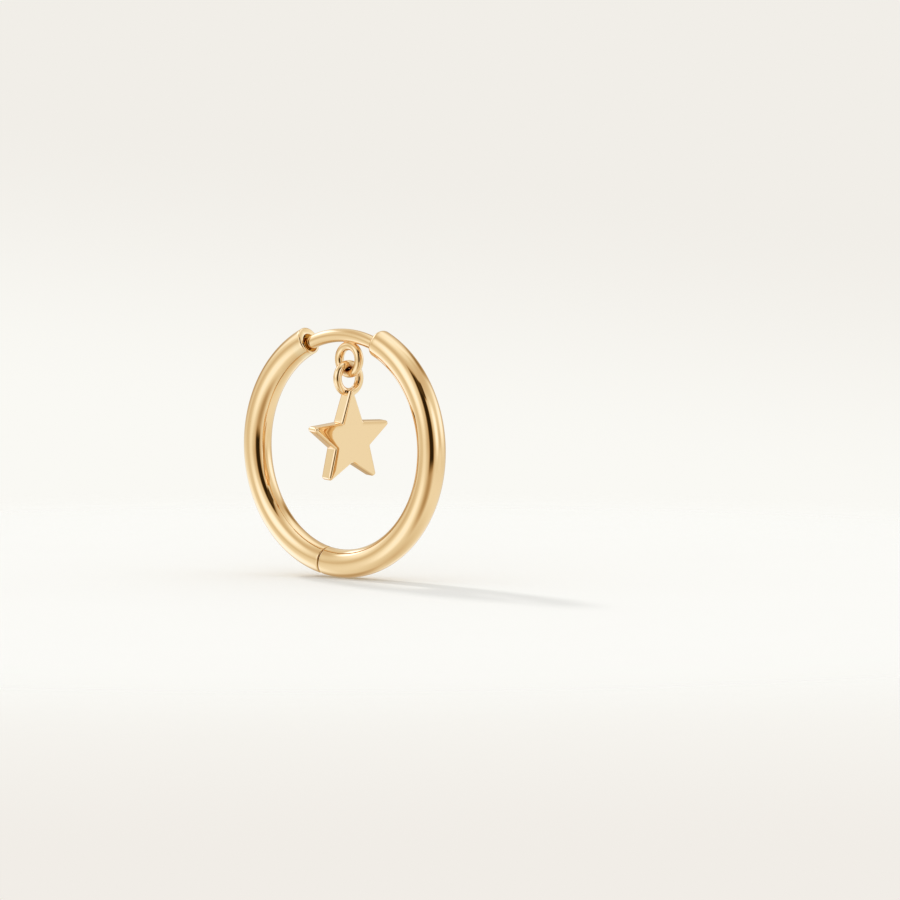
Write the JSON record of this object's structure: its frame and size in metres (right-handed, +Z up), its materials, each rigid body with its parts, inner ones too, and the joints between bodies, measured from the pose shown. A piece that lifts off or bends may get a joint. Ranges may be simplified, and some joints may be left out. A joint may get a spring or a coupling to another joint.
{
  "type": "hoop charm earring",
  "caption": "Hinged round-tube hoop earring with a curved ear post that closes into a socket, and a star charm that hangs inside the hoop on linked rings.",
  "frame": {"origin": "middle of the curved ear post at its highest point, where the earring hangs in the ear", "axes": "+Z up, the hoop stands in the XZ plane, +X towards the half that carries the ear post, Y through the hoop"},
  "size_m": [0.018, 0.0061, 0.0173],
  "materials": {
    "polished_gold": "polished pale yellow gold",
    "charm_gold": "polished pale yellow gold, softly domed faces"
  },
  "bodies": {
    "post_half": {"post_half": "polished_gold", "hinge_pin": "polished_gold"},
    "socket_half": {"socket_half": "polished_gold"},
    "star_charm": {"star_charm": "charm_gold"}
  },
  "joints": [
    {"name": "hoop_hinge", "type": "hinge", "parent": "post_half", "child": "socket_half", "pos_m": [-0.00196, 0, -0.01616], "axis": [0, -1, 0], "range_deg": [0, 45]},
    {"name": "charm_swing", "type": "hinge", "parent": "post_half", "child": "star_charm", "pos_m": [0.00057, 0, -0.00261], "axis": [0.9981, -0.061, 0], "range_deg": [-90, 90]}
  ]
}
